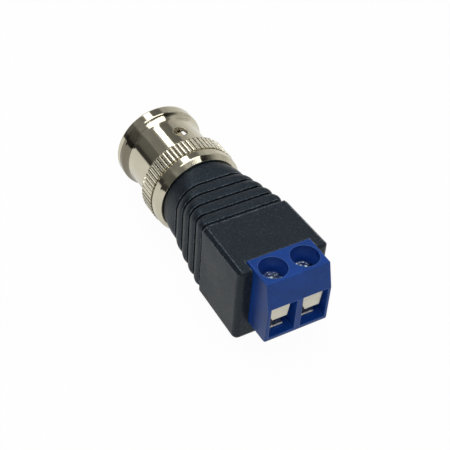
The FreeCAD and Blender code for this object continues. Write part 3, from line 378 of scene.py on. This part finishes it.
def plated_nickel(name, finish, roughness, knurled=False):
    """Bright nickel over turned metal: fine rings round the axis and a little cloud. On the nut
    the knurl's ribs are crowned, with painted shade in the grooves and a painted highlight on the
    knurl's upper side; the detent hole's wall is rough and painted lighter; and painted shade, a
    dark brown reflection, lies on the cove behind the rim's lower left."""
    shade = Shade(name, Metallic=1.0)
    rings = shade.noise(0.0004, detail=5, roughness=0.7, scale=(0.05, 4.0, 0.05))
    cloud = shade.noise(0.003, detail=4)
    colour = shade.over(shade.spread(cloud, 0, 1), finish.nickel_colour,
                        tinted(finish.nickel_colour, 0.88))
    polish = shade.spread(rings, roughness * 0.8, roughness * 1.3)
    height = shade.sums("MULTIPLY", rings, 0.04)
    if knurled:
        across, length, up = shade.axes()
        on_knurl = shade.in_band(length, KNURL_BAND)
        in_cove = shade.in_band(length, COVE_BAND)
        in_hole = shade.in_detent(across, length, up)

        turn = shade.sums("SUBTRACT", shade.sums("ARCTAN2", across, up), DETENT_ANGLE)
        ribs = shade.sums("COSINE", shade.sums("MULTIPLY", turn, KNURL_RIBS))
        crowns = shade.sums("MULTIPLY", shade.sums("MULTIPLY", ribs, on_knurl), 0.6)
        height = shade.sums("SUBTRACT", height, crowns)
        polish = shade.sums("MAXIMUM", polish, shade.sums("MULTIPLY", on_knurl, 0.28))
        polish = shade.sums("MAXIMUM", polish, shade.sums("MULTIPLY", in_hole, 0.65))

        lower = shade.spread(shade.sums("ADD", across, shade.sums("MULTIPLY", up, 0.8)),
                             1, 0, -0.003, 0.001)
        cove_shade = shade.sums("MULTIPLY", shade.sums("MULTIPLY", in_cove, lower), 0.75)
        knurl_highlight = shade.sums("MULTIPLY", on_knurl, shade.spread(up, 0, 0.85, -0.0005, 0.0040))
        grooves = shade.sums("MULTIPLY", on_knurl, shade.spread(ribs, 0, 0.72, 0.25, 0.95))
        # Painted shade: a dark brown reflection on the cove behind the rim, on its lower left.
        colour = shade.over(cove_shade, colour, COVE_PAINTED_SHADE)
        # Painted light: a paler colour on the detent hole's wall, which gets little light.
        colour = shade.over(in_hole, colour, HOLE_WALL_PAINTED_LIGHT)
        # Painted highlight: a paler colour over the knurl, rising towards its upper side.
        colour = shade.over(knurl_highlight, colour, KNURL_PAINTED_HIGHLIGHT)
        # Painted shade: a dark brown in the knurl's grooves, between the ribs.
        colour = shade.over(grooves, colour, KNURL_GROOVE_SHADE)
    shade.set("Base Color", colour)
    shade.set("Roughness", polish)
    shade.bump(height, 0.00005, rounding=0.00008)
    return shade.material


def grained_metal(name, colour, roughness, grain_way=(1, 1, 1), grain_size=0.0003, detail=4,
                  depth=0.000004, rounding=0.00003, metal=1.0):
    """Plated sheet or turned metal with a grain."""
    shade = Shade(name, Metallic=metal)
    grain = shade.noise(grain_size, detail=detail, roughness=0.65, scale=grain_way)
    cloud = shade.noise(0.0015)
    shade.set("Base Color", shade.over(shade.spread(cloud, 0, 1), colour, tinted(colour, 0.85)))
    shade.set("Roughness", shade.spread(grain, roughness * 0.8, roughness * 1.3))
    shade.bump(grain, depth, rounding)
    return shade.material


def plain_plastic(name, colour, roughness, soft=0.0):
    """Smooth plastic or rubber with a faint cloud and grain."""
    shade = Shade(name, Subsurface_Weight=soft, Subsurface_Radius=(0.0006, 0.0005, 0.0004))
    cloud = shade.noise(0.002)
    grain = shade.noise(0.0002)
    shade.set("Base Color", shade.over(shade.spread(cloud, 0, 1), colour, tinted(colour, 0.88)))
    shade.set("Roughness", shade.spread(cloud, roughness * 0.9, roughness * 1.15))
    shade.bump(grain, 0.000006, rounding=0.00006)
    return shade.material


class ADAPTER_OT_body(bpy.types.Operator):
    """Finish the black moulding"""
    bl_idname = "adapter.body"
    bl_label = "Body"

    def execute(self, context):
        clothe(["body_moulding"], black_moulding(context.scene.adapter_finish))
        return {"FINISHED"}


class ADAPTER_OT_terminals(bpy.types.Operator):
    """Finish the blue housing, its screws, guards and contacts"""
    bl_idname = "adapter.terminals"
    bl_label = "Terminals"

    def execute(self, context):
        finish = context.scene.adapter_finish
        clothe(["terminal_housing"], blue_housing(finish))
        clothe(["terminal_screw_left", "terminal_screw_right"],
               grained_metal("zinc_screw", finish.screw_colour, 0.20, grain_size=0.0006,
                             detail=1, depth=0.00014))
        clothe(["wire_guard_left", "wire_guard_right"],
               grained_metal("guard_sheet", finish.steel_colour, 0.34, grain_way=(1, 1, 0.2)))
        clothe(["terminal_contact_left", "terminal_contact_right"],
               grained_metal("tinned_contact", finish.tin_colour, 0.14, grain_way=(0.3, 1, 1),
                             depth=0.000001, rounding=0.00034, metal=0.85))
        return {"FINISHED"}


class ADAPTER_OT_nut(bpy.types.Operator):
    """Finish the knurled coupling nut"""
    bl_idname = "adapter.nut"
    bl_label = "Coupling nut"

    def execute(self, context):
        finish = context.scene.adapter_finish
        clothe(["coupling_nut"],
               plated_nickel("nut_nickel", finish, finish.nickel_roughness, knurled=True))
        return {"FINISHED"}


def flattening_washer(material):
    """The wave washer as a piece of its own: a copy of the solid in the given material, joined to
    the adapter, while the solid is hidden.
    """
    solid = bpy.data.objects["wave_washer"]
    piece = bpy.data.objects.new("wave_spring", solid.data.copy())
    bpy.context.scene.collection.objects.link(piece)
    clothe([piece.name], material)
    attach(piece, "adapter")
    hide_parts("wave_washer")
    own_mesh(piece)


class ADAPTER_OT_plug(bpy.types.Operator):
    """Finish the plug shell, its rings, insulators and centre pin"""
    bl_idname = "adapter.plug"
    bl_label = "Plug"

    def execute(self, context):
        finish = context.scene.adapter_finish
        clothe(["outer_contact"], plated_nickel("shell_nickel", finish, SHELL_ROUGHNESS))
        rings = grained_metal("ring_steel", RING_STEEL, 0.3)
        clothe(["thrust_washer", "retaining_ring"], rings)
        flattening_washer(rings)
        clothe(["gasket"], plain_plastic("gasket_rubber", GASKET_BLACK, 0.6))
        clothe(["front_insulator", "rear_insulator"],
               plain_plastic("waxy_white", finish.insulator_colour, 0.35, soft=0.2))
        clothe(["centre_pin"], grained_metal("pin_gold", finish.gold_colour, 0.2))
        return {"FINISHED"}


class ADAPTER_OT_leads(bpy.types.Operator):
    """Finish the two leads and the tube over the solder cup"""
    bl_idname = "adapter.leads"
    bl_label = "Leads"

    def execute(self, context):
        clothe(["centre_lead"], plain_plastic("signal_jacket", SIGNAL_RED, 0.35))
        clothe(["ground_lead"], plain_plastic("ground_jacket", GROUND_BLACK, 0.35))
        clothe(["solder_tube"], plain_plastic("shrunk_tube", TUBE_BLACK, 0.45))
        return {"FINISHED"}


def stage_floor(stage):
    """A pale floor, white to the camera, that keeps the adapter's shadow."""
    half = stage.floor_size / 2
    mesh = bpy.data.meshes.new("studio_floor")
    mesh.from_pydata([(-half, -half, 0), (half, -half, 0), (half, half, 0), (-half, half, 0)],
                     [], [(0, 1, 2, 3)])
    floor = bpy.data.objects.new("studio_floor", mesh)
    bpy.context.scene.collection.objects.link(floor)
    shade = Shade("studio_white", Base_Color=stage.floor_colour, Roughness=0.9,
                  Specular_IOR_Level=0.0)
    glow = shade.node("ShaderNodeEmission")
    glow.inputs["Strength"].default_value = 1.0
    rays = shade.node("ShaderNodeLightPath")
    mirrored = shade.sums("MULTIPLY", rays.outputs["Is Glossy Ray"], FLOOR_MIRRORED)
    seen = shade.sums("MAXIMUM", rays.outputs["Is Camera Ray"], mirrored)
    seen = shade.sums("MAXIMUM", seen, rays.outputs["Is Transmission Ray"])
    mix = shade.node("ShaderNodeMixShader")
    shade.link(shade.sums("MULTIPLY", seen, FLOOR_SEEN), mix.inputs[0])
    shade.link(shade.shader.outputs["BSDF"], mix.inputs[1])
    shade.link(glow.outputs["Emission"], mix.inputs[2])
    shade.link(mix.outputs["Shader"], shade.out.inputs["Surface"])
    mesh.materials.append(shade.material)


def studio_world(stage):
    """A plain room in upright bands, with darker walls left of the window and beside it."""
    world = bpy.data.worlds.new("studio")
    world.use_nodes = True
    nodes = NodeTree(world.node_tree)
    way = nodes.node("ShaderNodeTexCoord").outputs["Generated"]

    parts = nodes.node("ShaderNodeSeparateXYZ")
    nodes.link(way, parts.inputs[0])
    across = nodes.sums("DEGREES", nodes.sums("ARCTAN2", parts.outputs["X"], parts.outputs["Z"]))
    total = stage.room_level
    for centre, half, soft, level in WALLS:
        off = nodes.sums("ABSOLUTE", nodes.sums("SUBTRACT", across, centre))
        share = nodes.spread(off, 0, 1, half + soft, half - soft,
                             interpolation_type="SMOOTHSTEP")
        kept = nodes.sums("MULTIPLY", total, nodes.sums("SUBTRACT", 1.0, share))
        total = nodes.sums("ADD", kept, nodes.sums("MULTIPLY", share, level))

    mottle = nodes.node("ShaderNodeTexNoise")
    mottle.inputs["Scale"].default_value = MOTTLE_SCALE
    mottle.inputs["Detail"].default_value = 3
    nodes.link(way, mottle.inputs["Vector"])
    uneven = nodes.spread(mottle.outputs["Fac"], MOTTLE_DARKEST, MOTTLE_LIGHTEST, 0.35, 0.65)
    total = nodes.sums("MULTIPLY", total, uneven)

    dot = nodes.node("ShaderNodeVectorMath", operation="DOT_PRODUCT")
    nodes.link(way, dot.inputs[0])
    dot.inputs[1].default_value = Vector(CORNER_WAY).normalized()
    dark = nodes.spread(dot.outputs["Value"], 0, 1, math.cos(math.radians(CORNER_EDGE)),
                        math.cos(math.radians(CORNER_CORE)), interpolation_type="SMOOTHSTEP")
    kept = nodes.sums("SUBTRACT", 1.0, nodes.sums("MULTIPLY", dark, CORNER_SHARE))
    total = nodes.sums("MULTIPLY", total, kept)

    room = nodes.node("ShaderNodeBackground")
    room.inputs["Color"].default_value = stage.room_colour
    nodes.link(total, room.inputs["Strength"])
    white = nodes.node("ShaderNodeBackground")
    white.inputs["Color"].default_value = BACKDROP_WHITE
    white.inputs["Strength"].default_value = 1.0
    mix = nodes.node("ShaderNodeMixShader")
    nodes.link(nodes.node("ShaderNodeLightPath").outputs["Is Camera Ray"], mix.inputs[0])
    nodes.link(room.outputs["Background"], mix.inputs[1])
    nodes.link(white.outputs["Background"], mix.inputs[2])
    out = nodes.node("ShaderNodeOutputWorld")
    nodes.link(mix.outputs["Shader"], out.inputs["Surface"])
    bpy.context.scene.world = world


def soft_lamp(name, place, size, power):
    """A rectangular lamp that points at the middle of the adapter."""
    lamp = bpy.data.lights.new(name, "AREA")
    lamp.shape = "RECTANGLE"
    lamp.size, lamp.size_y = size
    lamp.energy = power
    obj = bpy.data.objects.new(name, lamp)
    bpy.context.scene.collection.objects.link(obj)
    way = Vector((0, 0, AXIS_HEIGHT)) - Vector(place)
    obj.location = place
    obj.rotation_euler = way.to_track_quat("-Z", "Y").to_euler()


def stage_camera(stage):
    """The camera, at the place and angle from which the adapter's size was worked out."""
    data = bpy.data.cameras.new("product_view")
    data.sensor_width = CAMERA_SENSOR
    data.lens = stage.lens
    data.clip_start = CAMERA_NEAREST
    camera = bpy.data.objects.new("product_view", data)
    bpy.context.scene.collection.objects.link(camera)
    ahead = Vector(CAMERA_AHEAD).normalized()
    up = Vector(CAMERA_UP)
    up = (up - ahead * up.dot(ahead)).normalized()
    right = ahead.cross(up)
    turn = Matrix((right, up, -ahead)).transposed().to_4x4()
    camera.matrix_world = Matrix.Translation(CAMERA_PLACE) @ turn
    bpy.context.scene.camera = camera


class ADAPTER_OT_stage(bpy.types.Operator):
    """Set up the floor, the lamps, the world and the camera"""
    bl_idname = "adapter.stage"
    bl_label = "Stage"

    def execute(self, context):
        stage = context.scene.adapter_stage
        stage_floor(stage)
        studio_world(stage)
        soft_lamp("overhead", OVERHEAD_PLACE, OVERHEAD_SIZE, stage.over_power)
        soft_lamp("window", WINDOW_PLACE, WINDOW_SIZE, stage.window_power)
        stage_camera(stage)
        context.scene.view_settings.view_transform = "Standard"
        return {"FINISHED"}


class ADAPTER_PT_panel(bpy.types.Panel):
    """Sizes, colours and pieces of the adapter"""
    bl_label = "Adapter"
    bl_idname = "ADAPTER_PT_panel"
    bl_space_type = "VIEW_3D"
    bl_region_type = "UI"
    bl_category = "Adapter"

    def draw(self, context):
        layout = self.layout
        for group in (context.scene.adapter_finish, context.scene.adapter_stage):
            box = layout.box()
            for name in group.bl_rna.properties.keys():
                if name not in ("rna_type", "name"):
                    box.prop(group, name)
        for operator in OPERATORS:
            layout.operator(operator.bl_idname)


GROUPS = {"adapter_finish": AdapterFinish, "adapter_stage": AdapterStage}
OPERATORS = (ADAPTER_OT_body, ADAPTER_OT_terminals, ADAPTER_OT_nut, ADAPTER_OT_plug,
             ADAPTER_OT_leads, ADAPTER_OT_stage)


def register():
    for name, group in GROUPS.items():
        bpy.utils.register_class(group)
        setattr(bpy.types.Scene, name, PointerProperty(type=group))
    for operator in OPERATORS:
        bpy.utils.register_class(operator)
    bpy.utils.register_class(ADAPTER_PT_panel)


def unregister():
    bpy.utils.unregister_class(ADAPTER_PT_panel)
    for operator in reversed(OPERATORS):
        bpy.utils.unregister_class(operator)
    for name, group in reversed(GROUPS.items()):
        delattr(bpy.types.Scene, name)
        bpy.utils.unregister_class(group)


def main():
    register()
    for operator in OPERATORS:
        group, name = operator.bl_idname.split(".")
        getattr(getattr(bpy.ops, group), name)()


if __name__ == "__main__":
    main()
